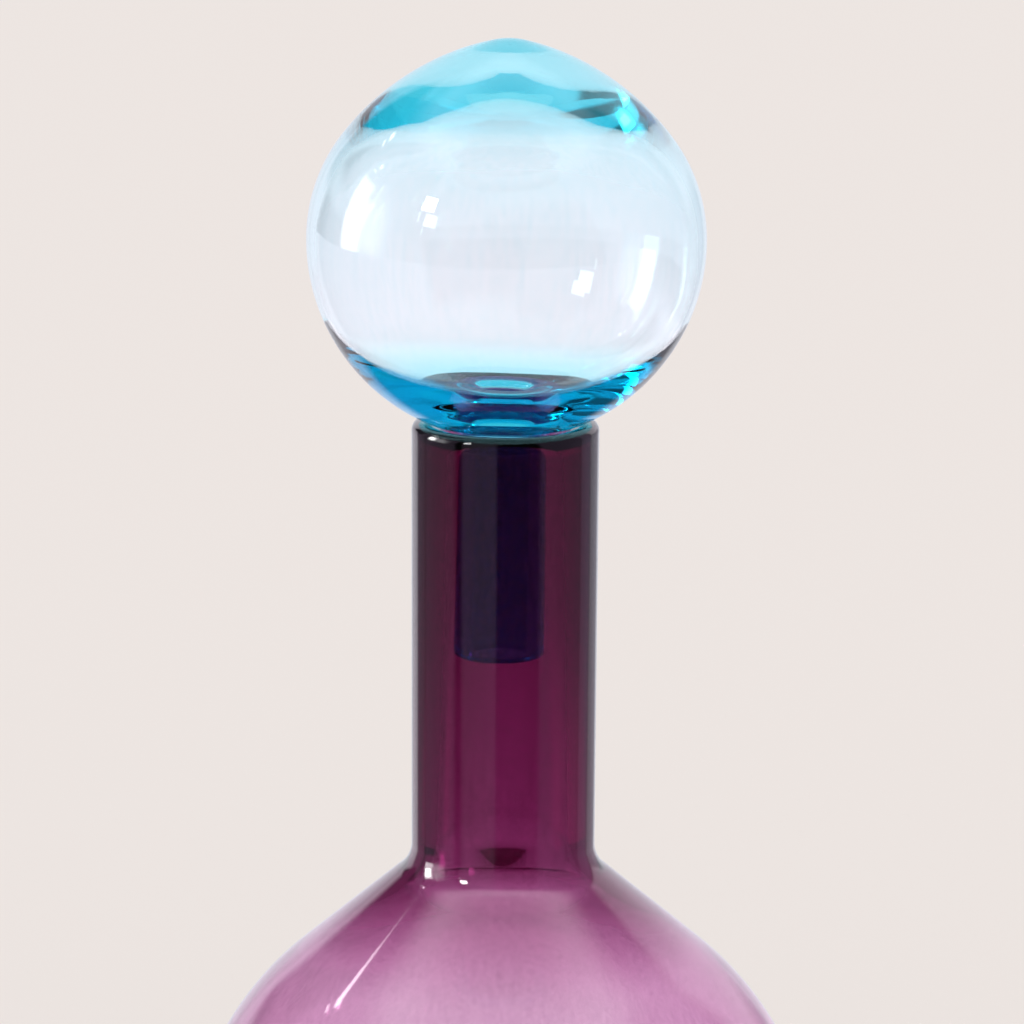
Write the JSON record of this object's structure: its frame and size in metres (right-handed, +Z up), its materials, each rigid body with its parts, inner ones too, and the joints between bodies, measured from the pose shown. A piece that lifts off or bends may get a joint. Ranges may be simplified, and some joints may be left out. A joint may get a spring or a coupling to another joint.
{
  "type": "bottle",
  "caption": "Round-bodied blown glass bottle with a long thick-walled neck and a hollow globe stopper whose open tube stem hangs loosely in the neck.",
  "frame": {"origin": "middle of the foot, on the plane that the bottle stands on", "axes": "+Z up along the bottle's axis; +X to the right of the picture and +Y away from its camera"},
  "size_m": [0.1472, 0.1472, 0.3322],
  "materials": {
    "purple_glass": "clear purple glass, fire polished",
    "blue_glass": "clear pale blue glass, fire polished"
  },
  "bodies": {
    "bottle": {"bottle": "purple_glass"},
    "stopper": {"stopper": "blue_glass"}
  },
  "joints": [
    {"name": "stopper_lift", "type": "slide", "parent": "bottle", "child": "stopper", "axis": [0, 0, 1], "range_m": [0, 0.1]}
  ]
}
